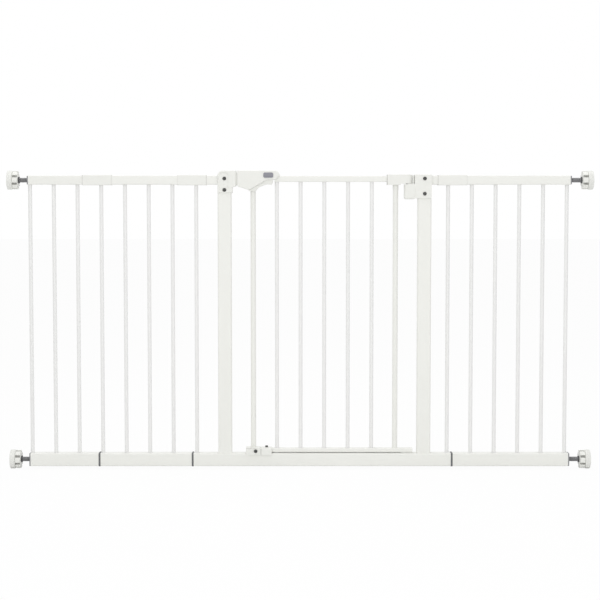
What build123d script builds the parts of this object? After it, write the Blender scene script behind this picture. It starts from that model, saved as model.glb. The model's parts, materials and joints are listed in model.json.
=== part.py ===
from build123d import *
import os

# A pressure-mounted safety gate, in millimetres: +X right, +Y away from the viewer, +Z up.
# The origin is under the middle of the gate, level with the lowest point of the wall pads.

# Layout across the opening
bar_pitch = 60
outer_left_bar_count = 3
inner_left_bar_count = 4
right_bar_count = 5
gate_bar_count = 5
left_end_margin = 5
right_end_margin = 9.5
joint_margin = 10
left_side_gap = 72
right_side_gap = 60
left_reach = 51
right_reach = 55.5

# Heights
rail_spacing = 710.2
gate_top_drop = 1
floor_gap = 2
handle_rise = 13.3

# Tubes
bar_diameter = 10
bar_wall = 1
stile_diameter = 13.4
stile_wall = 1.2
post_width = 35
post_depth = 24
post_wall = 1.5
post_corner = 4
base_rail_height = 33
base_rail_depth = 30
base_rail_wall = 1.5
base_rail_corner = 3
top_rail_height = 23
top_rail_depth = 20
top_rail_wall = 1.2
top_rail_corner = 2.5
gate_rail_height = 15
gate_rail_depth = 15
gate_bottom_height = 10.5
gate_bottom_depth = 18
gate_rail_wall = 1.2
gate_rail_corner = 2

# Clearances
fit_clearance = 0.1
running_clearance = 0.05
least_corner = 0.5

# Joints between the frame sections
sleeve_length = 74
sleeve_wall = 1.2
sleeve_corner = 2
sleeve_edge = 0.4
section_gap = 1
collar_thickness = 4.6
collar_proud = 0.6
outer_collar_shift = 2.2
inner_collar_shift = -0.7
right_collar_shift = 1.6
spigot_length = 35
spigot_wall = 3
plug_flange = 3
plug_length = 30
upper_cap_inset = 0.8
lower_cap_inset = 0.2

# Spindles, hand wheels and wall pads
spindle_diameter = 12
spindle_inside = 62
wheel_diameter = 46
wheel_thickness = 13
wheel_notch_count = 7
wheel_notch_width = 6
wheel_notch_depth = 6
wheel_notch_corner = 1.5
wheel_edge = 1.2
lock_nut_diameter = 16.5
lock_nut_thickness = 3
pad_diameter = 48
pad_thickness = 13.5
pad_edge = 4
pad_rim_edge = 1.5
pad_socket_depth = 8
pad_to_wheel = 0.3

# Screws
screw_head_diameter = 9
screw_head_height = 3
screw_shank_diameter = 5
screw_reach = 11
screw_sink = 1.2
screw_ring = 0.5
screw_socket = 4
screw_socket_depth = 1.4
small_head_diameter = 6
small_head_height = 1.6
small_shank_diameter = 3
small_screw_sink = 2
small_screw_reach = 20
stop_screw_head = 7
stop_screw_height = 4.3
stop_screw_shank = 4
stop_screw_reach = 6

# Brackets on the two posts
bracket_wall = 2.9
bracket_edge = 1.8
latch_bracket_wall = 11.6
latch_bracket_foot_wall = 2.4
latch_bracket_height = 56
latch_bracket_foot_height = 14
latch_bracket_shelf_rise = 3
latch_bracket_shoulder = 13
latch_screw_depths = (20, 48.5)
latch_panel_width = 24
latch_panel_height = 46
latch_panel_corner = 9
latch_panel_drop = 4.6
latch_panel_offset = 2.2
latch_groove_width = 1.2
latch_groove_depth = 0.8
hinge_bracket_wall = 8
hinge_bracket_cap = 2.5
hinge_bracket_height = 60
hinge_screw_depths = (10.2, 48.2)

# Hinge on the right of the gate
hinge_stile_to_axis = 30
hinge_to_bracket = 17.5
hinge_block_height = 39
hinge_block_depth = 28
hinge_block_reach = 8.5
hinge_block_edge = 6
hinge_block_bevel = 3
hinge_block_step_length = 9
hinge_block_step_drop = 1.3
hinge_web_depth = 18
hinge_web_gap = 1.4
hinge_web_drop = 1.5
hinge_web_groove = 1.2
hinge_web_groove_depth = 6
hinge_pin_diameter = 8
hinge_pin_in_block = 30
hinge_pin_in_cap = 17
hinge_pin_end_gap = 1
hinge_cap_length = 52
hinge_cap_depth = 25
hinge_cap_height = 26
hinge_cap_relief = 3.3
hinge_cap_step = 17.5
hinge_cap_edge = 1
hinge_cap_end_edge = 2
hinge_face_gap = 0.5
hinge_rail_end_gap = 10
bottom_rail_overhang = 15
bush_length = 30
bush_neck_diameter = 14
lower_pin_drop = 1

# Handle housing: places are measured across from the latch stile and down from the housing's top
handle_wall = 2.5
handle_edge = 2
latch_gap = 3.4
handle_overhang = 39.5
handle_left_drop = 39.5
handle_heel = -10.5
handle_heel_drop = 49
handle_arch = 34.5
handle_arch_drop = 23.5
handle_tail = 57.5
handle_tail_drop = 21.5
handle_nose = 68.5
handle_nose_drop = 10
handle_shoulder = 61
handle_corner_radius = 3
handle_heel_radius = 8
handle_arch_radius = 14
handle_tail_radius = 4
handle_nose_radius = 4
handle_shoulder_radius = 10
handle_socket_start = 54
handle_stile_plug = 12
handle_left_screw = (-34, 7)
handle_right_screw = (60, 6.5)
handle_screw_boss = 3.2

# Squeeze lever, measured in the same way
lever_pivot = (-24, 8)
lever_boss = 4.5
lever_stile_gap = 1
lever_cheek = 2.3
lever_side_gap = 0.7
lever_bearing = 4
lever_bearing_gap = 0.3
lever_web = 2.5
lever_shoulder = (-19, 5)
lever_back = (8, 18)
lever_brow = (30, 21.3)
lever_end_top = (50.3, 22)
lever_end = (49.5, 31)
lever_tip = (46.5, 35.8)
lever_dip = (37, 34.5)
lever_grip = (27.5, 36.7)
lever_knee = (12.4, 43.5)
lever_heel_right = (6.3, 52)
lever_heel_left = (-9, 52)
lever_shin = (-13.6, 47)
lever_neck = (-14, 35)
lever_throat = (-15, 24)
lever_arm_face = 30.9
lever_arm_width = 5.1
lever_arm_elbow = 21
lever_arm_crook = 18
lever_arm_drop = 34.5
lever_slot_left = 15
lever_slot_top = 18
lever_pin_diameter = 5
lever_pin_seat = 1
lever_spring_wall = 1.8
lever_spring_clearance = 0.2
lever_spring_side_gap = 0.4

# Latch: bolt, cross pin, slide plate and thumb button
bolt_size = 12
bolt_drop = 28.5
bolt_tail = 14
bolt_recess = 0.5
bolt_clearance = 0.3
bolt_edge = 1
bolt_travel = 8
pocket_clearance = 0.5
pocket_depth = 8
cross_pin = (-20, 30.5)
cross_pin_diameter = 5
cross_pin_tail = 0.2
plate_thickness = 2.2
plate_clearance = 0.3
plate_drop = 12.5
plate_height = 7
plate_right = 42.5
plate_leg_width = 7
plate_leg_drop = 35
button_place = 38.6
button_width = 25
button_height = 13
button_corner = 4
button_drop = 5
button_thickness = 2
button_gap = 0.2
button_edge = 0.8
button_neck_width = 5
button_neck_height = 4.4
button_neck_drop = 13
button_slot_clearance = 0.3

# Shoe and stop at the foot of the latch stile
foot_skirt = 6
foot_skirt_gap = 0.5
foot_skirt_thickness = 3
foot_rear_wall = 2
foot_edge = 1
shoe_left = 19
shoe_right = 18.8
shoe_top_wall = 1.9
shoe_screw_place = 5.8
shoe_screw_rise = 4.3
shoe_groove_height = 1
shoe_groove_depth = 1.5
shoe_groove_drop = 1.1
stop_gap = 0.8
stop_length = 26.9
stop_top_wall = 1.5
stop_screw_place = 33.3
rail_stile_overhang = 12

# Places across the gate, worked out from the sizes above
stile_gap = post_width / 2 + latch_bracket_wall + latch_gap + handle_overhang
hinge_gap = hinge_to_bracket + hinge_bracket_wall + post_width / 2
gate_bar_span = (gate_bar_count + 1) * bar_pitch
post_spacing = stile_gap + gate_bar_span + hinge_stile_to_axis + hinge_gap
base_width = joint_margin + left_side_gap + post_spacing + right_side_gap + joint_margin
inner_left_width = inner_left_bar_count * bar_pitch
outer_left_width = left_end_margin + outer_left_bar_count * bar_pitch - joint_margin
right_width = right_end_margin + right_bar_count * bar_pitch - joint_margin
rail_length = outer_left_width + inner_left_width + base_width + right_width
overall_width = left_reach + rail_length + right_reach

left_end = left_reach - overall_width / 2
outer_joint = left_end + outer_left_width
inner_joint = outer_joint + inner_left_width
right_joint = inner_joint + base_width
right_end = right_joint + right_width
outer_collar_x = outer_joint + outer_collar_shift
inner_collar_x = inner_joint + inner_collar_shift
right_collar_x = right_joint + right_collar_shift
left_post_x = inner_joint + joint_margin + left_side_gap
right_post_x = left_post_x + post_spacing
latch_x = left_post_x + stile_gap
hinge_stile_x = latch_x + gate_bar_span
hinge_x = hinge_stile_x + hinge_stile_to_axis

# Heights, worked out in the same way
base_axis = pad_diameter / 2
top_axis = base_axis + rail_spacing
base_top = base_axis + base_rail_height / 2
top_bottom = top_axis - top_rail_height / 2
top_top = top_axis + top_rail_height / 2
gate_top = top_top - gate_top_drop
gate_rail_axis = gate_top - gate_rail_height / 2
gate_rail_bottom = gate_top - gate_rail_height
gate_bottom = base_top + floor_gap
gate_bottom_axis = gate_bottom + gate_bottom_height / 2
gate_bottom_top = gate_bottom + gate_bottom_height
handle_top = gate_top + handle_rise
hinge_top = top_top + hinge_bracket_cap
hinge_cap_bottom = hinge_top - hinge_cap_height
hinge_relief = hinge_cap_bottom + hinge_cap_relief
hinge_block_top = hinge_relief - hinge_face_gap
latch_screw_heights = [handle_top - drop for drop in latch_screw_depths]
hinge_screw_heights = [hinge_top - drop for drop in hinge_screw_depths]

# Radii of bores and pins that several pieces share
hinge_bore_radius = hinge_pin_diameter / 2 + running_clearance
lever_bore_radius = lever_pin_diameter / 2 + running_clearance
cross_bore_radius = cross_pin_diameter / 2 + running_clearance
screw_hole_radius = screw_shank_diameter / 2 + fit_clearance
stop_hole_radius = stop_screw_shank / 2 + fit_clearance
stile_hole_radius = stile_diameter / 2 + fit_clearance

# Depths, from the middle of the gate outwards
bracket_half = post_depth / 2 + fit_clearance + bracket_wall
lever_inner = stile_diameter / 2 + lever_stile_gap
lever_outer = lever_inner + lever_cheek
slot_half = lever_outer + lever_side_gap
plate_outer = slot_half + plate_thickness
cavity_half = plate_outer + plate_clearance
handle_half = cavity_half + handle_wall
foot_front = base_rail_depth / 2 + foot_skirt_gap + foot_skirt_thickness
foot_rear = gate_bottom_depth / 2 + foot_rear_wall


def block(x, y, z):
    """A box between three pairs of coordinates, each given in either order."""
    low = [min(pair) for pair in (x, y, z)]
    size = [max(pair) - min(pair) for pair in (x, y, z)]
    return Pos(*low) * Box(*size, align=(Align.MIN, Align.MIN, Align.MIN))


def rod(start, direction, length, radius):
    """A round bar from a point, along a direction."""
    return extrude(Plane(origin=start, z_dir=direction) * Circle(radius), length)


def slab(face, y_low, y_high):
    """A flat outline in X and Z, filled between two depths."""
    plane = Plane(origin=(0, y_high, 0), x_dir=(1, 0, 0), z_dir=(0, -1, 0))
    return extrude(plane * face, y_high - y_low)


def across(x, z, direction=1):
    """A plane that faces along X, with depth and height as its two directions."""
    return Plane(origin=(x, 0, z), x_dir=(0, 1, 0), z_dir=(direction, 0, 0))


def rounded(depth, height, corner, growth=0):
    """A rail's outline, grown or shrunk all round."""
    return RectangleRounded(depth + 2 * growth, height + 2 * growth, max(corner + growth, least_corner))


def tube_section(depth, height, corner, wall):
    return rounded(depth, height, corner) - rounded(depth, height, corner, -wall)


def export(name, *solids):
    shape = solids[0] if len(solids) == 1 else Compound(children=list(solids))
    export_step(shape, f"parts/{name}.step")


def top_rail(x_low, x_high):
    section = tube_section(top_rail_depth, top_rail_height, top_rail_corner, top_rail_wall)
    return extrude(across(x_low, top_axis) * section, x_high - x_low)


def base_rail(x_low, x_high):
    section = tube_section(base_rail_depth, base_rail_height, base_rail_corner, base_rail_wall)
    return extrude(across(x_low, base_axis) * section, x_high - x_low)


def upright(x, z_low, z_high, diameter, wall):
    """A round tube that stands between two rails."""
    section = Circle(diameter / 2) - Circle(diameter / 2 - wall)
    return extrude(Plane((x, 0, z_low)) * section, z_high - z_low)


def frame_bars(places):
    return [upright(x, base_top, top_bottom, bar_diameter, bar_wall) for x in places]


# Fixed frame: rails, bars and posts
def extension(name, top_span, base_span, first_bar, bar_count):
    """An extension section, from the two ends of its top rail, those of its base rail, and its first bar."""
    export(f"{name}_top_rail", top_rail(*top_span))
    export(f"{name}_base_rail", base_rail(*base_span))
    export(f"{name}_bars", *frame_bars([first_bar + i * bar_pitch for i in range(bar_count)]))


def post(x, screw_heights):
    """An upright beside the opening, drilled at the front for its bracket's screws."""
    section = tube_section(post_width, post_depth, post_corner, post_wall)
    tube = extrude(Plane((x, 0, base_top)) * section, top_top - base_top)
    for z in screw_heights:
        tube -= rod((x, -post_depth, z), (0, 1, 0), post_depth, screw_hole_radius)
    return tube


def gate_unit_rail():
    """The base rail under the opening, drilled for the lower hinge pin."""
    half = collar_thickness / 2
    tube = base_rail(inner_collar_x + half, right_collar_x - half)
    return tube - rod((hinge_x, 0, base_axis), (0, 0, 1), base_rail_height, hinge_bore_radius)


def top_sleeve(x, bar_x):
    """The cover over two top rails where they meet, with a hole for the bar beside the joint."""
    start = across(x - sleeve_length / 2, top_axis)
    growth = 2 * (fit_clearance + sleeve_wall)
    outline = rounded(top_rail_depth + growth, top_rail_height + growth, sleeve_corner)
    body = extrude(start * outline, sleeve_length)
    body = chamfer(body.faces().filter_by(Axis.X).edges(), sleeve_edge)
    bore = rounded(top_rail_depth, top_rail_height, top_rail_corner, fit_clearance)
    body -= extrude(start * bore, sleeve_length)
    bar_hole = rod((bar_x, 0, top_bottom), (0, 0, -1), top_rail_height, bar_diameter / 2 + fit_clearance)
    return body - bar_hole


def base_coupler(x):
    """A collar between two base rails, with a hollow spigot into each of them."""
    size = (base_rail_depth, base_rail_height, base_rail_corner)
    shrink = base_rail_wall + fit_clearance
    length = collar_thickness + 2 * spigot_length
    start = across(x - length / 2, base_axis)
    collar_start = across(x - collar_thickness / 2, base_axis)
    collar = extrude(collar_start * rounded(*size, collar_proud), collar_thickness)
    spigot = extrude(start * rounded(*size, -shrink), length)
    bore = extrude(start * rounded(*size, -shrink - spigot_wall), length)
    return collar + spigot - bore


def end_cap(x, direction, z, size, wall, inset):
    """A plug bored for the spindle, with a flange that closes the rail's end."""
    inner_face = across(x - direction * plug_flange / 2, z, direction)
    flange = extrude(inner_face * rounded(*size, -inset), plug_flange)
    plug = extrude(inner_face * rounded(*size, -wall - fit_clearance), -plug_length)
    bore = Circle(spindle_diameter / 2 + running_clearance)
    return flange + plug - extrude(inner_face * bore, plug_flange) - extrude(inner_face * bore, -plug_length)


# Wall fixings
def wall_fixing(name, x, direction, z, reach):
    """A wall pad, with the spindle, hand wheel and lock nut that press it outwards."""
    pad_inner = reach - pad_thickness
    wheel_inner = pad_inner - pad_to_wheel - wheel_thickness
    nut_inner = wheel_inner - lock_nut_thickness
    outer_side = -1 if direction > 0 else 0
    bore = Circle(spindle_diameter / 2 + fit_clearance)

    def at(distance):
        return Plane(origin=(x + direction * distance, 0, z), x_dir=(0, -1, 0), z_dir=(direction, 0, 0))

    pad = extrude(at(pad_inner) * Circle(pad_diameter / 2), pad_thickness)
    pad = fillet(pad.edges().group_by(Axis.X)[-1 - outer_side], pad_edge)
    pad = fillet(pad.edges().group_by(Axis.X)[outer_side], pad_rim_edge)
    socket = Circle(spindle_diameter / 2 + running_clearance)
    export(f"wall_pad_{name}", pad - extrude(at(pad_inner) * socket, pad_socket_depth))

    first_notch = 180 / wheel_notch_count
    notches = PolarLocations(wheel_diameter / 2, wheel_notch_count, start_angle=first_notch)
    outline = Circle(wheel_diameter / 2) - notches * Rectangle(2 * wheel_notch_depth, wheel_notch_width)
    outline = fillet(outline.vertices(), wheel_notch_corner)
    wheel = extrude(at(wheel_inner) * outline, wheel_thickness)
    wheel = fillet(wheel.faces().filter_by(Axis.X).edges(), wheel_edge)
    export(f"hand_wheel_{name}", wheel - extrude(at(wheel_inner) * bore, wheel_thickness))

    nut = Circle(lock_nut_diameter / 2) - bore
    export(f"lock_nut_{name}", extrude(at(nut_inner) * nut, lock_nut_thickness))

    spindle = Circle(spindle_diameter / 2)
    spindle_length = spindle_inside + pad_inner + pad_socket_depth
    export(f"spindle_{name}", extrude(at(-spindle_inside) * spindle, spindle_length))


# Brackets and their screws
def pan_screw(x, seat, z):
    """A screw driven in from the front, with a domed head and a six-sided recess."""
    front = seat - screw_head_height
    head = rod((x, seat, z), (0, -1, 0), screw_head_height, screw_head_diameter / 2)
    head = fillet(head.edges().sort_by(Axis.Y)[0], screw_head_height / 2)
    recess = RegularPolygon(screw_socket / 2, 6)
    head -= extrude(Plane(origin=(x, front, z), z_dir=(0, 1, 0)) * recess, screw_socket_depth)
    return head + rod((x, seat, z), (0, 1, 0), screw_reach, screw_shank_diameter / 2)


def bracket_screws():
    seat = screw_sink - bracket_half
    left = [pan_screw(left_post_x, seat, z) for z in latch_screw_heights]
    right = [pan_screw(right_post_x, seat, z) for z in hinge_screw_heights]
    return left + right


def cut_for_post(body, x, inward, screw_heights):
    """Make room in a bracket for its post, which shows on its outer side, and for two screws."""
    side = post_depth / 2 + fit_clearance
    inner = x + inward * (post_width / 2 + fit_clearance)
    outer = x - inward * post_width
    body -= block((inner, outer), (-side, side), (base_top, top_top))
    for z in screw_heights:
        head = screw_head_diameter / 2 + screw_ring
        body -= rod((x, -bracket_half, z), (0, 1, 0), screw_sink, head)
        body -= rod((x, -bracket_half, z), (0, 1, 0), bracket_half, screw_hole_radius)
    return body


def latch_bracket():
    """The cap on the left post, with a panel marked by a groove and the pocket that the bolt locks into."""
    left = left_post_x - post_width / 2
    right = left_post_x + post_width / 2 + latch_bracket_wall
    foot = left_post_x + post_width / 2 + latch_bracket_foot_wall
    bottom = handle_top - latch_bracket_height
    shelf = bottom + latch_bracket_foot_height
    face = make_face(Polyline(
        (left, bottom),
        (left, handle_top),
        (right, handle_top),
        (right, shelf + latch_bracket_shelf_rise),
        (foot, shelf),
        (foot, bottom),
        close=True,
    ))
    shoulder = face.vertices().group_by(Axis.Y)[-1].sort_by(Axis.X)[0]
    face = fillet(shoulder, latch_bracket_shoulder)
    body = slab(face, -bracket_half, bracket_half)
    body = fillet(body.faces().filter_by(Axis.Y).edges(), bracket_edge)
    half = bolt_size / 2 + pocket_clearance
    middle = handle_top - bolt_drop
    body -= block((right - pocket_depth, right), (-half, half), (middle - half, middle + half))
    panel_middle = handle_top - latch_panel_drop - latch_panel_height / 2
    panel = RectangleRounded(latch_panel_width, latch_panel_height, latch_panel_corner)
    panel = Pos(left_post_x - latch_panel_offset, panel_middle) * panel
    groove = panel - offset(panel, -latch_groove_width)
    body -= slab(groove, -bracket_half, latch_groove_depth - bracket_half)
    return cut_for_post(body, left_post_x, 1, latch_screw_heights)


def hinge_bracket():
    """The cap on the right post, with the block that holds the upper hinge pin and a web above it."""
    left = right_post_x - post_width / 2 - hinge_bracket_wall
    right = right_post_x + post_width / 2
    bottom = hinge_top - hinge_bracket_height
    body = block((left, right), (-bracket_half, bracket_half), (bottom, hinge_top))
    body = fillet(body.edges().filter_by(Axis.Z).group_by(Axis.X)[0], bracket_edge)
    body = fillet(body.faces().sort_by(Axis.Z)[-1].edges(), hinge_bracket_cap / 2)
    half = hinge_block_depth / 2
    block_left = hinge_x - hinge_block_reach
    block_bottom = hinge_block_top - hinge_block_height
    arm = block((block_left, left + bracket_edge), (-half, half), (block_bottom, hinge_block_top))
    arm = fillet(arm.edges().filter_by(Axis.Z).group_by(Axis.X)[0], hinge_block_edge)
    arm = chamfer(arm.faces().sort_by(Axis.Z)[0].edges(), hinge_block_bevel)
    step_right = block_left + hinge_block_step_length
    step_heights = (hinge_block_top - hinge_block_step_drop, hinge_block_top)
    arm -= block((block_left, step_right), (-half, half), step_heights)
    body += arm
    web_left = hinge_x + hinge_cap_depth / 2 + hinge_web_gap
    web_half = hinge_web_depth / 2
    web_heights = (hinge_block_top, hinge_top - hinge_web_drop)
    body += block((web_left, left + bracket_edge), (-web_half, web_half), web_heights)
    groove_depths = (-web_half, hinge_web_groove_depth - web_half)
    body -= block((left - hinge_web_groove, left), groove_depths, web_heights)
    pin_foot = (hinge_x, 0, hinge_block_top - hinge_pin_in_block)
    body -= rod(pin_foot, (0, 0, 1), hinge_pin_in_block, hinge_bore_radius)
    return cut_for_post(body, right_post_x, -1, hinge_screw_heights)


# Gate leaf
def gate_top_rail():
    section = tube_section(gate_rail_depth, gate_rail_height, gate_rail_corner, gate_rail_wall)
    left = latch_x + handle_socket_start
    return extrude(across(left, gate_rail_axis) * section, hinge_x - hinge_rail_end_gap - left)


def gate_bottom_rail():
    """The rail along the foot of the gate, drilled for the hinge bush and the two foot screws."""
    section = tube_section(gate_bottom_depth, gate_bottom_height, gate_rail_corner, gate_rail_wall)
    left = latch_x - rail_stile_overhang
    tube = extrude(across(left, gate_bottom_axis) * section, hinge_x + bottom_rail_overhang - left)
    neck = bush_neck_diameter / 2 + fit_clearance
    tube -= rod((hinge_x, 0, gate_bottom), (0, 0, 1), gate_bottom_height / 2, neck)
    shoe_hole = (latch_x + shoe_screw_place, -foot_front, gate_bottom + shoe_screw_rise)
    tube -= rod(shoe_hole, (0, 1, 0), foot_front, screw_hole_radius)
    stop_hole = (latch_x + stop_screw_place, 0, gate_bottom_axis)
    tube -= rod(stop_hole, (0, 0, 1), gate_bottom_height, stop_hole_radius)
    return tube


def cut_for_rail(body, depth, height, z):
    """Make room in a moulding for a rail of the gate, right through along X."""
    outline = rounded(depth, height, gate_rail_corner, fit_clearance)
    length = hinge_x - hinge_rail_end_gap + fit_clearance - latch_x
    return body - extrude(across(latch_x, z) * outline, length)


def hinge_cap():
    """The moulding at the top right corner of the gate, which turns on the upper hinge pin."""
    half = hinge_cap_depth / 2
    left = hinge_x - hinge_cap_length
    body = block((left, hinge_x), (-half, half), (hinge_cap_bottom, hinge_top))
    body += rod((hinge_x, 0, hinge_cap_bottom), (0, 0, 1), hinge_cap_height, half)
    body = fillet(body.edges().filter_by(Axis.Z).group_by(Axis.X)[0], hinge_cap_end_edge)
    body = fillet(body.faces().sort_by(Axis.Z)[-1].edges(), hinge_cap_edge)
    step = hinge_x - hinge_cap_step
    body -= block((step, hinge_x + hinge_cap_depth), (-half, half), (hinge_cap_bottom, hinge_relief))
    body = cut_for_rail(body, gate_rail_depth, gate_rail_height, gate_rail_axis)
    stile_foot = (hinge_stile_x, 0, hinge_cap_bottom)
    body -= rod(stile_foot, (0, 0, 1), hinge_cap_height / 2, stile_hole_radius)
    bore_length = hinge_pin_in_cap - hinge_face_gap + hinge_pin_end_gap
    bore = rod((hinge_x, 0, hinge_relief), (0, 0, 1), bore_length, hinge_bore_radius)
    return body - bore


def lower_hinge_bush():
    """A plug in the bottom rail's right end, with a neck and foot that turn on the lower hinge pin."""
    shrink = gate_rail_wall + fit_clearance
    outline = rounded(gate_bottom_depth, gate_bottom_height, gate_rail_corner, -shrink)
    right = hinge_x + bottom_rail_overhang
    body = extrude(across(right - bush_length, gate_bottom_axis) * outline, bush_length)
    neck_foot = (hinge_x, 0, base_top + hinge_face_gap)
    body += rod(neck_foot, (0, 0, 1), gate_bottom_axis - base_top - hinge_face_gap, bush_neck_diameter / 2)
    foot_half = gate_bottom_depth / 2
    foot_heights = (base_top + hinge_face_gap, gate_bottom - fit_clearance)
    body += block((right - bush_length, right), (-foot_half, foot_half), foot_heights)
    bore = rod((hinge_x, 0, base_top), (0, 0, 1), base_rail_height, hinge_bore_radius)
    return body - bore


# Handle housing
def spot(place):
    """A place on the handle as a point in X and Z."""
    return (latch_x + place[0], handle_top - place[1])


def depth_rod(place, y_from, y_to, radius):
    """A round bar along Y at a place on the handle."""
    x, z = spot(place)
    return rod((x, min(y_from, y_to), z), (0, 1, 0), abs(y_to - y_from), radius)


def handle_outline():
    corners = (
        ((-handle_overhang, 0), handle_corner_radius),
        ((handle_shoulder, 0), handle_shoulder_radius),
        ((handle_nose, handle_nose_drop), handle_nose_radius),
        ((handle_tail, handle_tail_drop), handle_tail_radius),
        ((handle_arch, handle_arch_drop), handle_arch_radius),
        ((handle_heel, handle_heel_drop), handle_heel_radius),
        ((-handle_overhang, handle_left_drop), handle_corner_radius),
    )
    points = [spot(place) for place, radius in corners]
    radii = [radius for place, radius in corners]
    return make_face(FilletPolyline(*points, radius=radii, close=True))


def handle_shell(side):
    """One half of the housing: the front one for side -1, the rear one for side 1."""
    outline = handle_outline()
    body = slab(outline, *sorted((0, side * handle_half)))
    outer_face = body.faces().sort_by(Axis.Y)[0 if side < 0 else -1]
    body = fillet(outer_face.edges(), handle_edge)

    cavity = slab(offset(outline, -handle_wall), *sorted((0, side * cavity_half)))
    socket_x = latch_x + handle_socket_start
    tall = 2 * handle_heel_drop
    cavity -= block((socket_x, socket_x + tall), (-tall, tall), (handle_top - tall, handle_top))
    body -= cavity

    bearing_start = side * (lever_outer + lever_bearing_gap)
    body += depth_rod(lever_pivot, bearing_start, side * cavity_half, lever_bearing)
    body += depth_rod(handle_left_screw, 0, side * cavity_half, handle_screw_boss)
    plug_foot = (latch_x, 0, handle_top - handle_wall - handle_stile_plug)
    plug = rod(plug_foot, (0, 0, 1), handle_stile_plug, stile_diameter / 2 - stile_wall - fit_clearance)
    body += plug & block((latch_x - tall, latch_x + tall), (0, side * tall), (0, handle_top))

    lever_gap = (latch_x - lever_slot_left, socket_x)
    body -= block(lever_gap, (-slot_half, slot_half), (handle_top - tall, handle_top - lever_slot_top))
    half = bolt_size / 2 + bolt_clearance
    middle = handle_top - bolt_drop
    end = latch_x - handle_overhang
    body -= block((end, end + 2 * handle_wall), (-half, half), (middle - half, middle + half))
    body = cut_for_rail(body, gate_rail_depth, gate_rail_height, gate_rail_axis)
    pin_end = side * (cavity_half + lever_pin_seat)
    body -= depth_rod(lever_pivot, 0, pin_end, lever_bore_radius)
    for place in (handle_left_screw, handle_right_screw):
        body = cut_for_handle_screw(body, place, side)
    return body


def cut_for_handle_screw(body, place, side):
    """Drill a shell for a screw that goes in from the rear."""
    radius = small_shank_diameter / 2 + running_clearance
    seat = handle_half - small_screw_sink
    if side < 0:
        return body - depth_rod(place, 0, seat - small_screw_reach, radius)
    body -= depth_rod(place, 0, seat, radius)
    return body - depth_rod(place, seat, handle_half, small_head_diameter / 2 + fit_clearance)


def handle_front():
    """The front shell, with the slot that the thumb button's neck slides in."""
    body = handle_shell(-1)
    half = button_neck_width / 2 + button_slot_clearance
    right = latch_x + button_place + half
    left = latch_x + button_place - half - bolt_travel
    top = handle_top - button_neck_drop + button_slot_clearance
    bottom = top - button_neck_height - 2 * button_slot_clearance
    return body - block((left, right), (-handle_half, -cavity_half), (bottom, top))


def handle_screw(place):
    seat = handle_half - small_screw_sink
    head = depth_rod(place, seat, seat + small_head_height, small_head_diameter / 2)
    return head + depth_rod(place, seat, seat - small_screw_reach, small_shank_diameter / 2)


# Squeeze lever
def squeeze_lever():
    """Two cheeks on the lever pin, joined by a web to squeeze, with arms that push the bolt back."""
    grip = (lever_knee, lever_grip, lever_dip, lever_tip, lever_end)
    pivot_top = (lever_pivot[0], lever_pivot[1] - lever_boss)
    pivot_right = (lever_pivot[0] + lever_boss, lever_pivot[1])
    leg = (pivot_top, lever_shoulder, lever_back, lever_brow, lever_end_top, *reversed(grip))
    leg += (lever_heel_right, lever_heel_left, lever_shin, lever_neck, lever_throat, pivot_right)
    arm_left = -lever_arm_face - lever_arm_width
    arm = (
        (lever_pivot[0] - lever_boss, lever_pivot[1]),
        (lever_pivot[0], lever_pivot[1] + lever_boss),
        (-lever_arm_face, lever_arm_elbow),
        (-lever_arm_face, lever_arm_drop),
        (arm_left, lever_arm_drop),
        (arm_left, lever_arm_crook),
    )
    cheek = make_face(Polyline(*[spot(place) for place in leg], close=True))
    cheek += make_face(Polyline(*[spot(place) for place in arm], close=True))
    cheek += Pos(*spot(lever_pivot)) * Circle(lever_boss)
    web = list(grip) + [(x, drop - lever_web) for x, drop in reversed(grip)]
    web_face = make_face(Polyline(*[spot(place) for place in web], close=True))
    body = slab(cheek, lever_inner, lever_outer)
    body += slab(cheek, -lever_outer, -lever_inner)
    body += slab(web_face & cheek, -lever_inner, lever_inner)
    return body - depth_rod(lever_pivot, -lever_outer, lever_outer, lever_bore_radius)


def lever_spring():
    """The space taken by the torsion spring round the lever pin."""
    inside = lever_pin_diameter / 2 + lever_spring_clearance
    end = lever_inner - lever_spring_side_gap
    body = depth_rod(lever_pivot, -end, end, inside + lever_spring_wall)
    return body - depth_rod(lever_pivot, -end, end, inside)


# Latch slide
def latch_bolt():
    """The bolt that locks the gate to the latch bracket, drilled for its cross pin."""
    half = bolt_size / 2
    middle = handle_top - bolt_drop
    left = latch_x - handle_overhang + bolt_recess
    body = block((left, latch_x - bolt_tail), (-half, half), (middle - half, middle + half))
    body = chamfer(body.faces().sort_by(Axis.X)[0].edges(), bolt_edge)
    return body - depth_rod(cross_pin, -half, half, cross_bore_radius)


def slide_plate():
    """The strip inside the front shell that joins the thumb button to the cross pin."""
    top = handle_top - plate_drop
    leg_left = latch_x + cross_pin[0] - plate_leg_width / 2
    depth = (-plate_outer, -slot_half)
    body = block((leg_left, latch_x + plate_right), depth, (top - plate_height, top))
    body += block((leg_left, leg_left + plate_leg_width), depth, (handle_top - plate_leg_drop, top))
    return body - depth_rod(cross_pin, -plate_outer, -slot_half, cross_bore_radius)


def thumb_button():
    """The pad on the front of the handle, with a neck through the front shell."""
    left = latch_x + button_place - button_width / 2
    top = handle_top - button_drop
    back = -handle_half - button_gap
    body = block((left, left + button_width), (back - button_thickness, back), (top - button_height, top))
    body = fillet(body.edges().filter_by(Axis.Y), button_corner)
    body = fillet(body.faces().sort_by(Axis.Y)[0].edges(), button_edge)
    neck_left = latch_x + button_place - button_neck_width / 2
    neck_top = handle_top - button_neck_drop
    neck_right = neck_left + button_neck_width
    neck_bottom = neck_top - button_neck_height
    return body + block((neck_left, neck_right), (back, -plate_outer), (neck_bottom, neck_top))


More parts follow.
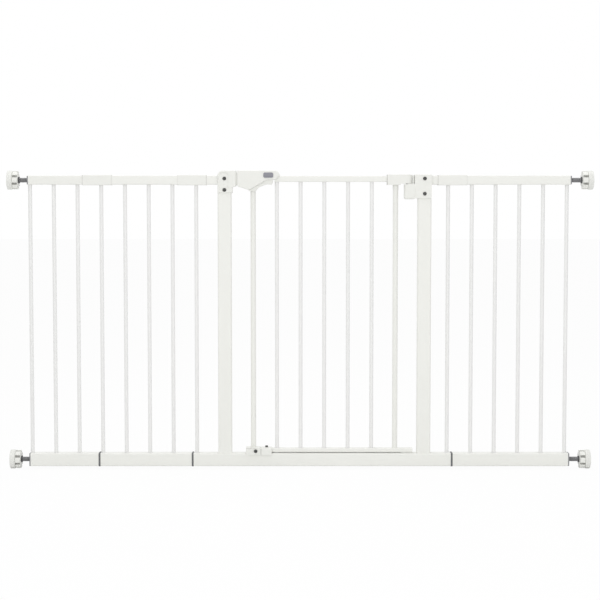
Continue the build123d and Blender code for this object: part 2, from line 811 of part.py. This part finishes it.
# Foot of the latch stile
def foot_block(left, right, top_wall):
    """A moulding over the bottom rail, with a skirt in front of the base rail that stops the gate."""
    top = gate_bottom_top + top_wall
    low = gate_bottom - foot_skirt
    body = block((left, right), (-foot_front, foot_rear), (low, top))
    body = fillet(body.edges(), foot_edge)
    body -= block((left, right), (foot_skirt_thickness - foot_front, foot_rear), (low, gate_bottom))
    return body


def bottom_shoe():
    """The foot moulding round the stile, grooved under its top edge, which closes the bottom rail."""
    body = foot_block(latch_x - shoe_left, latch_x + shoe_right, shoe_top_wall)
    outline = rounded(gate_bottom_depth, gate_bottom_height, gate_rail_corner, fit_clearance)
    rail_part = rail_stile_overhang + fit_clearance
    body -= extrude(across(latch_x - rail_part, gate_bottom_axis) * outline, rail_part + shoe_right)
    body -= rod((latch_x, 0, gate_bottom_axis), (0, 0, 1), gate_bottom_height, stile_hole_radius)
    groove_top = gate_bottom_top + shoe_top_wall - shoe_groove_drop
    body -= block(
        (latch_x - shoe_left, latch_x + stile_diameter / 2),
        (-foot_front, shoe_groove_depth - foot_front),
        (groove_top - shoe_groove_height, groove_top),
    )
    hole = (latch_x + shoe_screw_place, -foot_front, gate_bottom + shoe_screw_rise)
    return body - rod(hole, (0, 1, 0), foot_front, screw_hole_radius)


def stop_block():
    """The second foot moulding, held by a screw from above."""
    left = latch_x + shoe_right + stop_gap
    body = foot_block(left, left + stop_length, stop_top_wall)
    body = cut_for_rail(body, gate_bottom_depth, gate_bottom_height, gate_bottom_axis)
    hole = (latch_x + stop_screw_place, 0, gate_bottom_axis)
    return body - rod(hole, (0, 0, 1), gate_bottom_height, stop_hole_radius)


def stop_screw():
    x = latch_x + stop_screw_place
    seat = gate_bottom_top + stop_top_wall
    head = rod((x, 0, seat), (0, 0, 1), stop_screw_height, stop_screw_head / 2)
    head = fillet(head.edges().sort_by(Axis.Z)[-1], stop_screw_height / 4)
    return head + rod((x, 0, seat), (0, 0, -1), stop_screw_reach, stop_screw_shank / 2)


os.makedirs("parts", exist_ok=True)

# Fixed frame
sleeve_end = section_gap / 2
collar_end = collar_thickness / 2
left_cap_end = left_end + plug_flange / 2
right_cap_end = right_end - plug_flange / 2
extension(
    "outer_left", (left_cap_end, outer_joint - sleeve_end), (left_cap_end, outer_collar_x - collar_end),
    left_end + left_end_margin, outer_left_bar_count,
)
extension(
    "inner_left", (outer_joint + sleeve_end, inner_joint - sleeve_end),
    (outer_collar_x + collar_end, inner_collar_x - collar_end),
    outer_joint + joint_margin, inner_left_bar_count,
)
extension(
    "right", (right_joint + sleeve_end, right_cap_end), (right_collar_x + collar_end, right_cap_end),
    right_joint + bar_pitch - joint_margin, right_bar_count,
)
export("gate_unit_rail", gate_unit_rail())
export("left_post", post(left_post_x, latch_screw_heights))
export("right_post", post(right_post_x, hinge_screw_heights))
export("left_top_stub", top_rail(inner_joint + sleeve_end, left_post_x - post_width / 2))
export("right_top_stub", top_rail(right_post_x + post_width / 2, right_joint - sleeve_end))
export("side_bars", *frame_bars((inner_joint + joint_margin, right_joint - joint_margin)))
joints = ((outer_joint, 1), (inner_joint, 1), (right_joint, -1))
export("top_sleeves", *[top_sleeve(x, x + side * joint_margin) for x, side in joints])
export("base_couplers", *[base_coupler(x) for x in (outer_collar_x, inner_collar_x, right_collar_x)])

# Rail ends and wall fixings
ends = (("left", left_end, -1, left_reach), ("right", right_end, 1, right_reach))
top_size = (top_rail_depth, top_rail_height, top_rail_corner)
base_size = (base_rail_depth, base_rail_height, base_rail_corner)
export("upper_end_caps", *[
    end_cap(x, direction, top_axis, top_size, top_rail_wall, upper_cap_inset)
    for side, x, direction, reach in ends
])
export("lower_end_caps", *[
    end_cap(x, direction, base_axis, base_size, base_rail_wall, lower_cap_inset)
    for side, x, direction, reach in ends
])
for side, x, direction, reach in ends:
    wall_fixing(f"upper_{side}", x, direction, top_axis, reach)
    wall_fixing(f"lower_{side}", x, direction, base_axis, reach)

# Brackets and hinge pins
export("latch_bracket", latch_bracket())
export("hinge_bracket", hinge_bracket())
export("bracket_screws", *bracket_screws())
pin_radius = hinge_pin_diameter / 2
upper_pin_foot = (hinge_x, 0, hinge_block_top - hinge_pin_in_block)
export("upper_hinge_pin", rod(upper_pin_foot, (0, 0, 1), hinge_pin_in_block + hinge_pin_in_cap, pin_radius))
lower_pin_foot = base_axis - base_rail_height / 2 + base_rail_wall
lower_pin_top = gate_bottom_top - gate_rail_wall - lower_pin_drop
lower_pin_length = lower_pin_top - lower_pin_foot
export("lower_hinge_pin", rod((hinge_x, 0, lower_pin_foot), (0, 0, 1), lower_pin_length, pin_radius))

# Gate leaf
stile_top = handle_top - handle_wall
gate_bar_places = [latch_x + (i + 1) * bar_pitch for i in range(gate_bar_count)]
gate_bars = [upright(x, gate_bottom_top, gate_rail_bottom, bar_diameter, bar_wall) for x in gate_bar_places]
export("gate_top_rail", gate_top_rail())
export("gate_bottom_rail", gate_bottom_rail())
export("latch_stile", upright(latch_x, gate_bottom_top, stile_top, stile_diameter, stile_wall))
export("hinge_stile", upright(hinge_stile_x, gate_bottom_top, gate_rail_bottom, stile_diameter, stile_wall))
export("gate_bars", *gate_bars)
export("hinge_cap", hinge_cap())
export("lower_hinge_bush", lower_hinge_bush())
export("bottom_shoe", bottom_shoe())
export("stop_block", stop_block())
shoe_screw = pan_screw(latch_x + shoe_screw_place, -foot_front, gate_bottom + shoe_screw_rise)
export("foot_screws", shoe_screw, stop_screw())

# Handle and latch
export("handle_front", handle_front())
export("handle_rear", handle_shell(1))
export("handle_screws", handle_screw(handle_left_screw), handle_screw(handle_right_screw))
pin_half = cavity_half + lever_pin_seat
export("lever_pin", depth_rod(lever_pivot, -pin_half, pin_half, lever_pin_diameter / 2))
export("lever_spring", lever_spring())
export("squeeze_lever", squeeze_lever())
export("latch_bolt", latch_bolt())
pin_end = lever_outer + cross_pin_tail
export("bolt_pin", depth_rod(cross_pin, -plate_outer, pin_end, cross_pin_diameter / 2))
export("slide_plate", slide_plate())
export("thumb_button", thumb_button())
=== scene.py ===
import json
import math
import bmesh
import bpy
from mathutils import Matrix, Vector


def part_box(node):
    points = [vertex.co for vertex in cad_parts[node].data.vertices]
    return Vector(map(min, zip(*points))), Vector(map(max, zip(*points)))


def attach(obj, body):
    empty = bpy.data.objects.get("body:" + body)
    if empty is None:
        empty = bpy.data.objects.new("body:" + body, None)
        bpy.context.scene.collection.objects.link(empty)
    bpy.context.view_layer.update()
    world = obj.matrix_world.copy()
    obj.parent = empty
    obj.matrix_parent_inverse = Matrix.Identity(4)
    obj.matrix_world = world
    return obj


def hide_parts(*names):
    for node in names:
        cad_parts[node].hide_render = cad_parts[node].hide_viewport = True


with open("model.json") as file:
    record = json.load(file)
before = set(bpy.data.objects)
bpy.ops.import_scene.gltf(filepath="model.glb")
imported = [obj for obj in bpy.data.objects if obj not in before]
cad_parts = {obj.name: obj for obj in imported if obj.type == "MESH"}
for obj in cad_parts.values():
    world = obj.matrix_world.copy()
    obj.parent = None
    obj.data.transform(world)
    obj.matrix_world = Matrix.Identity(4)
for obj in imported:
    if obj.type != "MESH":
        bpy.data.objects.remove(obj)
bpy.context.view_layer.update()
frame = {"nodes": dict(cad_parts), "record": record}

mm = 0.001
nodes = frame["nodes"]
corners = ["upper_left", "lower_left", "upper_right", "lower_right"]
innerLow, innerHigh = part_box("inner_left_top_rail")
sleeveJoints = [innerLow.x, innerHigh.x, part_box("right_top_rail")[0].x]  # where the top rails meet
sleeveHalf = sleeveJoints[0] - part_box("top_sleeves")[0].x
sleeveEnds = [joint + side * sleeveHalf for joint in sleeveJoints for side in (-1, 1)]
print("frame loaded:", len(nodes), "nodes")


# Shader maths: a wire is one socket of a material, and operators on it add Math nodes
class Wire:
    def __init__(self, tree, socket):
        self.tree = tree
        self.socket = socket

    def node(self, kind, settings=None, links=None, out=0):
        made = self.tree.nodes.new(kind)
        for key, value in (settings or {}).items():
            setattr(made, key, value)
        for key, value in (links or {}).items():
            if isinstance(value, Wire):
                self.tree.links.new(value.socket, made.inputs[key])
            else:
                made.inputs[key].default_value = value
        return Wire(self.tree, made.outputs[out] if len(made.outputs) else None)

    def maths(self, operation, first, second=0.0):
        return self.node("ShaderNodeMath", {"operation": operation}, {0: first, 1: second})

    def __add__(self, other):
        return self.maths("ADD", self, other)

    def __radd__(self, other):
        return self.maths("ADD", other, self)

    def __sub__(self, other):
        return self.maths("SUBTRACT", self, other)

    def __rsub__(self, other):
        return self.maths("SUBTRACT", other, self)

    def __mul__(self, other):
        return self.maths("MULTIPLY", self, other)

    def __rmul__(self, other):
        return self.maths("MULTIPLY", other, self)

    def __lt__(self, other):
        return self.maths("LESS_THAN", self, other)

    def size(self):
        return self.maths("ABSOLUTE", self)

    def wave(self):
        return self.maths("SINE", self)

    def least(self, other):
        return self.maths("MINIMUM", self, other)

    def blend(self, low, high):  # a colour between two, by this wire's value
        low, high = (value if isinstance(value, Wire) else (*value, 1) for value in (low, high))
        links = {"Factor": self, 6: low, 7: high}  # sockets 6 and 7 take colours, and output 2 gives one
        return self.node("ShaderNodeMix", {"data_type": "RGBA"}, links, out=2)


# A new material: its start wire is the object's own coordinates, and its surface is a Principled shader
class Finish:
    def __init__(self, name):
        self.material = bpy.data.materials.new(name)
        self.material.use_nodes = True
        self.tree = self.material.node_tree
        self.surface = self.tree.nodes["Principled BSDF"]
        self.place = Wire(self.tree, None).node("ShaderNodeTexCoord", out=3)

    def noise(self, scale, detail, rough=0.55):
        links = {"Vector": self.place, "Scale": scale, "Detail": detail, "Roughness": rough}
        return self.place.node("ShaderNodeTexNoise", None, links)

    def axis(self, which):
        return self.place.node("ShaderNodeSeparateXYZ", None, {0: self.place}, out=which)

    def bump(self, height, strength, distance):
        links = {"Height": height, "Strength": strength, "Distance": distance}
        self.use("Normal", self.place.node("ShaderNodeBump", None, links))

    def use(self, socket, value):
        if isinstance(value, Wire):
            self.tree.links.new(value.socket, self.surface.inputs[socket])
        else:
            self.surface.inputs[socket].default_value = value


# In the settings below, a noise is its scale, its detail and at times its roughness, and a bump its
# strength and depth

# White powder coat on the tubes: a slight orange peel, with a faint drift of tone
coatSettings = {
    "tone": (0.835, 0.838, 0.800), "deep": (0.800, 0.803, 0.762),
    "barTone": (0.835, 0.835, 0.825), "barDeep": (0.805, 0.805, 0.795),
    "peel": (520.0, 2.0), "drift": (14.0, 4.0), "gloss": 0.30, "spread": 0.12, "clear": 0.15,
    "bump": (0.18, 0.4 * mm),
}


def powderCoat(name, tone, deep):
    finish = Finish(name)
    peel = finish.noise(*coatSettings["peel"])
    drift = finish.noise(*coatSettings["drift"])
    finish.use("Base Color", drift.blend(deep, tone))
    finish.use("Roughness", coatSettings["gloss"] + drift * coatSettings["spread"])
    finish.use("Coat Weight", coatSettings["clear"])
    finish.bump(peel, *coatSettings["bump"])
    return finish.material


# Painted shade deep in the grip notches of a hand wheel: 0 on its rim and its ends, 1 on the floor of a
# notch
notchSettings = {"paintedShade": (0.38, 0.38, 0.36), "depth": 6.0 * mm, "edge": 1.0 * mm}


def spindleHeight(corner):
    low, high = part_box("spindle_" + corner)
    return (low.z + high.z) / 2


def notchPaintedShade(finish, corner):
    low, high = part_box("hand_wheel_" + corner)
    axisZ = spindleHeight(corner)
    rim = max(-low.y, high.y, high.z - axisZ, axisZ - low.z)
    floor = rim - notchSettings["depth"]
    across = finish.axis(1)
    rise = finish.axis(2) - axisZ
    depth = (rim ** 2 - (across * across + rise * rise)) * (1 / (rim ** 2 - floor ** 2))
    fromMiddle = (finish.axis(0) - (low.x + high.x) / 2).size()
    return (fromMiddle < (high.x - low.x) / 2 - notchSettings["edge"]) * depth.least(1.0)


# Satin white mouldings: a fine spark grain over a slow mottle, a seam where two shells meet, and painted
# shade along an end or in a wheel's notches
mouldSettings = {
    "tone": (0.830, 0.833, 0.795), "deep": (0.795, 0.798, 0.758), "gloss": 0.40, "spread": 0.12,
    "grain": (2600.0, 2.0), "mottle": (35.0, 5.0), "grainRelief": 0.25, "mottleRelief": 0.1,
    "bump": (0.12, 0.3 * mm), "seamHalf": 0.25 * mm, "seamRelief": 2.0,
    "paintedShade": (0.64, 0.64, 0.61), "paintedShadeWidth": 1.5 * mm,
}


def whiteMoulding(name, seam=False, paintedShadeEnds=(), wheel=None):
    finish = Finish(name)
    grain = finish.noise(*mouldSettings["grain"])
    mottle = finish.noise(*mouldSettings["mottle"])
    tone = mottle.blend(mouldSettings["deep"], mouldSettings["tone"])
    relief = grain * mouldSettings["grainRelief"] + mottle * mouldSettings["mottleRelief"]
    if seam:
        groove = finish.axis(1).size() < mouldSettings["seamHalf"]
        relief = relief - groove * mouldSettings["seamRelief"]
    for end in paintedShadeEnds:  # painted shade along an end, at this place across the gate
        near = (finish.axis(0) - end).size() < mouldSettings["paintedShadeWidth"]
        tone = near.blend(tone, mouldSettings["paintedShade"])
    if wheel:
        # painted shade in the wheel's notches, darker towards a notch's floor
        tone = notchPaintedShade(finish, wheel).blend(tone, notchSettings["paintedShade"])
    finish.use("Base Color", tone)
    finish.use("Roughness", mouldSettings["gloss"] + grain * mouldSettings["spread"])
    finish.bump(relief, *mouldSettings["bump"])
    return finish.material


# Tinted mouldings, each with two tones and a gloss: collars, plugs, thumb button, lock nuts and latch parts
tintSettings = {
    "collar": ((0.105, 0.105, 0.110), (0.150, 0.150, 0.155), 0.50),
    "plug": ((0.21, 0.21, 0.22), (0.28, 0.28, 0.29), 0.50),
    "button": ((0.235, 0.235, 0.265), (0.285, 0.285, 0.320), 0.42),
    "nut": ((0.055, 0.055, 0.057), (0.085, 0.085, 0.088), 0.48),
    "nylon": ((0.62, 0.62, 0.60), (0.70, 0.70, 0.68), 0.45),
    "grain": (1900.0, 2.0), "mottle": (60.0, 4.0), "spread": 0.15, "bump": (0.15, 0.2 * mm),
}


def tintedMoulding(name, kind):
    deep, tone, gloss = tintSettings[kind]
    finish = Finish(name)
    grain = finish.noise(*tintSettings["grain"])
    mottle = finish.noise(*tintSettings["mottle"])
    finish.use("Base Color", mottle.blend(deep, tone))
    finish.use("Roughness", gloss + grain * tintSettings["spread"])
    finish.bump(grain, *tintSettings["bump"])
    return finish.material


# Soft white pads that grip the wall: shallow ribs run round the rubber, with painted shade in their grooves
padSettings = {
    "tone": (0.800, 0.803, 0.770), "deep": (0.755, 0.758, 0.723), "gloss": 0.58, "spread": 0.2,
    "grain": (1200.0, 3.0), "mottle": (45.0, 4.0), "grainRelief": 0.2, "bump": (0.3, 0.6 * mm),
    "ribPitch": 3.2 * mm, "ribRelief": 0.35, "ribPaintedShade": 0.3,
}


def padRubber(name):
    finish = Finish(name)
    grain = finish.noise(*padSettings["grain"])
    mottle = finish.noise(*padSettings["mottle"])
    ribs = (finish.axis(0) * (2 * math.pi / padSettings["ribPitch"])).wave()
    # mottle, plus painted shade in the rib grooves and lighter colour on their crests
    shade = mottle + ribs * padSettings["ribPaintedShade"]
    finish.use("Base Color", shade.blend(padSettings["deep"], padSettings["tone"]))
    finish.use("Roughness", padSettings["gloss"] + grain * padSettings["spread"])
    relief = grain * padSettings["grainRelief"] + ribs * padSettings["ribRelief"]
    finish.bump(relief, *padSettings["bump"])
    return finish.material


# Metals, each with two tones, a gloss and a metallic share: blackened screws, plated spindles and drawn pins
metalSettings = {
    "screw": ((0.045, 0.045, 0.044), (0.080, 0.080, 0.078), 0.26, 0.30),
    "spindle": ((0.150, 0.150, 0.155), (0.260, 0.260, 0.265), 0.36, 0.65),
    "pin": ((0.45, 0.45, 0.45), (0.58, 0.58, 0.58), 0.30, 1.0),
    "scratch": (900.0, 4.0, 0.7), "stain": (180.0, 5.0), "spread": 0.2, "bump": (0.1, 0.2 * mm),
}


def metal(name, kind):
    deep, tone, gloss, metallic = metalSettings[kind]
    finish = Finish(name)
    scratch = finish.noise(*metalSettings["scratch"])
    stain = finish.noise(*metalSettings["stain"])
    finish.use("Base Color", stain.blend(deep, tone))
    finish.use("Roughness", gloss + scratch * metalSettings["spread"])
    finish.use("Metallic", metallic)
    finish.bump(scratch, *metalSettings["bump"])
    return finish.material


tubeCoat = powderCoat("tubeCoat", coatSettings["tone"], coatSettings["deep"])
barCoat = powderCoat("barCoat", coatSettings["barTone"], coatSettings["barDeep"])
moulding = whiteMoulding("whiteMoulding")
shellMoulding = whiteMoulding("shellMoulding", seam=True)
# Painted shade at the sleeves' ends, where they meet the rails
sleeveMoulding = whiteMoulding("sleeveMoulding", paintedShadeEnds=sleeveEnds)
# Painted shade along the hinge cap's rounded left end
capMoulding = whiteMoulding("capMoulding", paintedShadeEnds=[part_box("hinge_cap")[0].x])
collarGrey = tintedMoulding("collarGrey", "collar")
plugGrey = tintedMoulding("plugGrey", "plug")
buttonGrey = tintedMoulding("buttonGrey", "button")
nutDark = tintedMoulding("nutDark", "nut")
nylon = tintedMoulding("latchNylon", "nylon")
padWhite = padRubber("padRubber")
screwBlack = metal("screwBlack", "screw")
spindlePlate = metal("spindlePlate", "spindle")
pinSteel = metal("pinSteel", "pin")
print("finishes made")


# Every carried-over node takes the finish of its record slot, unless it has its own
slotFinish = {
    "white_enamel": tubeCoat, "white_moulding": moulding, "wheel_white": moulding, "pad_white": padWhite,
    "grey_moulding": plugGrey, "button_grey": buttonGrey, "nut_dark": nutDark, "latch_nylon": nylon,
    "dark_screw": screwBlack, "pin_steel": pinSteel, "spindle_steel": spindlePlate,
}
frameBars = ["outer_left_bars", "inner_left_bars", "right_bars", "side_bars"]
nodeFinish = {
    "handle_front": shellMoulding, "handle_rear": shellMoulding, "top_sleeves": sleeveMoulding,
    "base_couplers": collarGrey, "hinge_cap": capMoulding,
}
for bars in frameBars + ["gate_bars"]:
    nodeFinish[bars] = barCoat
for corner in corners:
    nodeFinish["hand_wheel_" + corner] = whiteMoulding("wheelMoulding_" + corner, wheel=corner)
for part in frame["record"]["subparts"]:
    finish = nodeFinish.get(part["node"], slotFinish[part["material_slot"]])
    piece = nodes[part["node"]]
    for place in piece.material_slots:
        place.material = finish
print("nodes finished")


def makePiece(name, mesh, finish, body, smooth=True):
    data = bpy.data.meshes.new(name)
    mesh.to_mesh(data)
    mesh.free()
    for face in data.polygons:
        face.use_smooth = smooth
    data.materials.append(finish)
    piece = bpy.data.objects.new(name, data)
    bpy.context.collection.objects.link(piece)
    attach(piece, body)
    return piece


def spinProfile(mesh, points, centre, axis, steps, shift=(0, 0, 0)):
    ring = [mesh.verts.new(point) for point in points]
    edges = [mesh.edges.new(pair) for pair in zip(ring, ring[1:])]
    bmesh.ops.spin(
        mesh, geom=ring + edges, cent=centre, axis=axis, dvec=shift, angle=2 * math.pi, steps=steps,
        use_merge=shift == (0, 0, 0),
    )


mergeReach = 0.01 * mm  # points closer than this become one


def closeMesh(mesh, reach=mergeReach):
    bmesh.ops.remove_doubles(mesh, verts=mesh.verts, dist=reach)
    bmesh.ops.holes_fill(mesh, edges=mesh.edges, sides=0)
    bmesh.ops.recalc_face_normals(mesh, faces=mesh.faces)


# Threaded spindles: one thread profile, wound round the spindle's axis by a pitch each turn
threadSettings = {
    "pitch": 2.0 * mm, "depth": 0.75 * mm, "crest": 0.25, "flank": 0.30, "steps": 28, "merge": 0.02 * mm,
}


def threadedSpindle(corner):
    low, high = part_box("spindle_" + corner)
    pitch = threadSettings["pitch"]
    axisZ = spindleHeight(corner)
    crestZ = high.z
    rootZ = crestZ - threadSettings["depth"]
    flank = threadSettings["flank"] * pitch
    crest = threadSettings["crest"] * pitch
    turns = int((high.x - low.x) / pitch) - 1
    points = []
    for turn in range(turns):
        x = low.x + turn * pitch
        points += [(x, 0, rootZ), (x + flank, 0, crestZ)]
        points += [(x + flank + crest, 0, crestZ), (x + 2 * flank + crest, 0, rootZ)]
    mesh = bmesh.new()
    steps = threadSettings["steps"]
    spinProfile(mesh, points, (low.x, 0, axisZ), (1, 0, 0), steps, (pitch / steps, 0, 0))
    closeMesh(mesh, threadSettings["merge"])
    piece = makePiece("thread_" + corner, mesh, spindlePlate, "wheel_" + corner)
    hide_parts("spindle_" + corner)


for corner in corners:
    threadedSpindle(corner)
print("spindles threaded")


# Weld beads where the bars meet the rails: a small hollow fillet round each bar
weldSettings = {"leg": 1.1 * mm, "hollow": 0.45 * mm, "steps": 28, "skin": 0.05 * mm, "barPitch": 60 * mm}


def addBead(mesh, x, z, radius, upward):
    leg = weldSettings["leg"]
    belly = weldSettings["hollow"]
    inner = radius - weldSettings["skin"]
    points = [
        (x + inner, 0, z), (x + radius + leg, 0, z), (x + radius + belly, 0, z + upward * belly),
        (x + inner, 0, z + upward * leg), (x + inner, 0, z),
    ]
    spinProfile(mesh, points, (x, 0, z), (0, 0, 1), weldSettings["steps"])


def barPlaces(node):
    low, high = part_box(node)
    radius = (high.y - low.y) / 2
    first, last = low.x + radius, high.x - radius
    gaps = 1 if node == "side_bars" else round((last - first) / weldSettings["barPitch"])
    return [first + (last - first) * i / gaps for i in range(gaps + 1)], radius, low.z, high.z


def underSleeve(x):
    return min(abs(x - joint) for joint in sleeveJoints) < sleeveHalf


def weldRow(node, body):
    places, radius, foot, top = barPlaces(node)
    mesh = bmesh.new()
    for x in places:
        addBead(mesh, x, foot, radius, 1)
        if body == "gate" or not underSleeve(x):
            addBead(mesh, x, top, radius, -1)
    closeMesh(mesh)
    makePiece("welds_" + node, mesh, barCoat, body)


for bars in frameBars:
    weldRow(bars, "frame")
weldRow("gate_bars", "gate")
print("bars welded")


# Collar on the hinge stile, a shadow gap below the hinge cap
collarSettings = {"gap": 1.2 * mm, "height": 11.0 * mm, "proud": 0.7 * mm, "edge": 0.35 * mm, "steps": 40}


def stileCollar():
    low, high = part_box("hinge_stile")
    x = (low.x + high.x) / 2
    radius = (high.x - low.x) / 2
    inner = radius - weldSettings["skin"]
    outer = radius + collarSettings["proud"]
    edge = collarSettings["edge"]
    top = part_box("hinge_cap")[0].z - collarSettings["gap"]
    foot = top - collarSettings["height"]
    points = [
        (x + inner, 0, top), (x + outer - edge, 0, top), (x + outer, 0, top - edge),
        (x + outer, 0, foot + edge), (x + outer - edge, 0, foot), (x + inner, 0, foot), (x + inner, 0, top),
    ]
    mesh = bmesh.new()
    spinProfile(mesh, points, (x, 0, top), (0, 0, 1), collarSettings["steps"])
    closeMesh(mesh)
    makePiece("stileCollar", mesh, moulding, "gate", smooth=False)


# A block with rounded edges, for the small trim
blockSegments = 3


def softBlock(place, size, edge):
    mesh = bmesh.new()
    block = bmesh.ops.create_cube(mesh, size=1.0)
    bmesh.ops.scale(mesh, vec=size, verts=block["verts"])
    bmesh.ops.translate(mesh, vec=place, verts=block["verts"])
    bmesh.ops.bevel(
        mesh, geom=mesh.edges[:], offset=edge, affect="EDGES", segments=blockSegments, profile=0.5,
        material=-1,
    )
    closeMesh(mesh)
    return mesh


# Thumb ridge across the lower part of the button
ridgeSettings = {
    "share": 0.74, "rise": 4.4 * mm, "height": 2.0 * mm,
    "proud": 0.9 * mm, "sunk": 0.4 * mm, "edge": 0.55 * mm,
}


def buttonRidge():
    low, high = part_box("thumb_button")
    middle = (low.x + high.x) / 2
    half = (high.x - low.x) * ridgeSettings["share"] / 2
    z = low.z + ridgeSettings["rise"]
    size = Vector((2 * half, ridgeSettings["proud"] + ridgeSettings["sunk"], ridgeSettings["height"]))
    place = Vector((middle, low.y - ridgeSettings["proud"] + size.y / 2, z))
    mesh = softBlock(place, size, ridgeSettings["edge"])
    makePiece("buttonRidge", mesh, buttonGrey, "latch")


# Stop lip on the latch bracket, in the gap before the handle: it runs in front of the bolt's path
lipSettings = {
    "clear": 0.8 * mm, "sunk": 0.3 * mm, "front": 11.0 * mm, "rear": 8.0 * mm,
    "edge": 0.6 * mm, "short": 2.5 * mm,
}


def latchLip():
    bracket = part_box("latch_bracket")[1]
    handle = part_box("handle_front")[0]
    left = bracket.x - lipSettings["sunk"]
    right = handle.x - lipSettings["clear"]
    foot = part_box("latch_bolt")[0].z - lipSettings["short"]
    top = bracket.z - lipSettings["short"]
    place = Vector((left + right, -lipSettings["front"] - lipSettings["rear"], foot + top)) / 2
    size = Vector((right - left, lipSettings["front"] - lipSettings["rear"], top - foot))
    makePiece("latchLip", softBlock(place, size, lipSettings["edge"]), moulding, "frame")


# Torsion spring on the lever pin: one round wire, wound along the pin
springSettings = {"wire": 0.75 * mm, "pitch": 1.9 * mm, "sides": 12, "steps": 24}


def leverCoil():
    low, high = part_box("lever_spring")
    pivot = (low + high) / 2
    wire = springSettings["wire"]
    coil = (high.x - low.x) / 2 - wire
    turns = int((high.y - low.y - 2 * wire) / springSettings["pitch"])
    start = pivot.y - turns * springSettings["pitch"] / 2
    place = Matrix.Translation((pivot.x + coil, start, pivot.z))
    mesh = bmesh.new()
    bmesh.ops.create_circle(mesh, radius=wire, segments=springSettings["sides"], matrix=place)
    steps = springSettings["steps"]
    bmesh.ops.spin(
        mesh, geom=mesh.verts[:] + mesh.edges[:], cent=pivot, axis=(0, 1, 0), angle=2 * math.pi * turns,
        dvec=(0, springSettings["pitch"] / steps, 0), steps=steps * turns,
    )
    closeMesh(mesh)
    piece = makePiece("leverCoil", mesh, pinSteel, "gate")
    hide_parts("lever_spring")


stileCollar()
buttonRidge()
latchLip()
leverCoil()
print("trim added")


# Floor and light
stageSettings = {
    "floor": 30.0, "floorTone": (0.86, 0.86, 0.86), "floorRough": 0.9, "floorWhite": 0.94,
    "ambient": 0.73, "skyTone": (1.0, 1.0, 1.0),
}


def seenRays(start):  # 1 for rays that show the background: to the camera, or by gloss or glass
    path = start.node("ShaderNodeLightPath")
    ways = path.socket.node.outputs
    gloss, glass = (Wire(start.tree, ways[name]) for name in ("Is Glossy Ray", "Is Transmission Ray"))
    return (path + gloss + glass).least(1.0)


def makeFloor():
    mesh = bmesh.new()
    bmesh.ops.create_grid(mesh, x_segments=1, y_segments=1, size=stageSettings["floor"])
    data = bpy.data.meshes.new("floor")
    mesh.to_mesh(data)
    mesh.free()
    floor = bpy.data.objects.new("floor", data)
    bpy.context.collection.objects.link(floor)
    finish = Finish("floorPaper")
    finish.use("Base Color", (*stageSettings["floorTone"], 1))
    finish.use("Roughness", stageSettings["floorRough"])
    white = finish.place.node("ShaderNodeEmission", None, {"Strength": 1.0})
    share = seenRays(finish.place) * stageSettings["floorWhite"]
    paper = Wire(finish.tree, finish.surface.outputs[0])
    mixed = finish.place.node("ShaderNodeMixShader", None, {0: share, 1: paper, 2: white})
    finish.tree.links.new(mixed.socket, finish.tree.nodes["Material Output"].inputs[0])
    data.materials.append(finish.material)


def makeSky():
    world = bpy.data.worlds.new("softSky")
    world.use_nodes = True
    bpy.context.scene.world = world
    tree = world.node_tree
    shade = tree.nodes["Background"]
    shade.inputs["Color"].default_value = (*stageSettings["skyTone"], 1)
    ambient = stageSettings["ambient"]
    level = seenRays(Wire(tree, None)) * (1 - ambient) + ambient
    tree.links.new(level.socket, shade.inputs["Strength"])


lampSettings = {
    "key": {"place": (-1.2, -2.6, 2.6), "aim": (0, 0, 0.40), "size": 2.4, "power": 13},
    "fill": {"place": (0.4, -2.8, 0.25), "aim": (0, 0, 0.05), "size": 2.6, "power": 20},
    "top": {"place": (0.0, 0.2, 3.0), "aim": (0, 0, 0.0), "size": 2.6, "power": 26},
}


def makeLamp(name):
    values = lampSettings[name]
    data = bpy.data.lights.new(name, "AREA")
    data.size = values["size"]
    data.energy = values["power"]
    lamp = bpy.data.objects.new(name, data)
    bpy.context.collection.objects.link(lamp)
    lamp.location = values["place"]
    aim = Vector(values["aim"]) - Vector(values["place"])
    lamp.rotation_euler = aim.to_track_quat("-Z", "Y").to_euler()


makeFloor()
makeSky()
for name in lampSettings:
    makeLamp(name)
print("stage lit")


# Camera, at the photograph's viewing angle
cameraSettings = {
    "place": (-0.0005, -3.802, 0.660), "tilt": 86.55, "lens": 90.0, "sensor": 36.0, "reach": 200.0,
}
cameraData = bpy.data.cameras.new("camera")
cameraData.lens = cameraSettings["lens"]
cameraData.sensor_width = cameraSettings["sensor"]
cameraData.clip_end = cameraSettings["reach"]
camera = bpy.data.objects.new("camera", cameraData)
bpy.context.collection.objects.link(camera)
camera.location = cameraSettings["place"]
camera.rotation_euler = (math.radians(cameraSettings["tilt"]), 0, 0)
bpy.context.scene.camera = camera
bpy.context.scene.view_settings.view_transform = "Standard"
print("camera set")
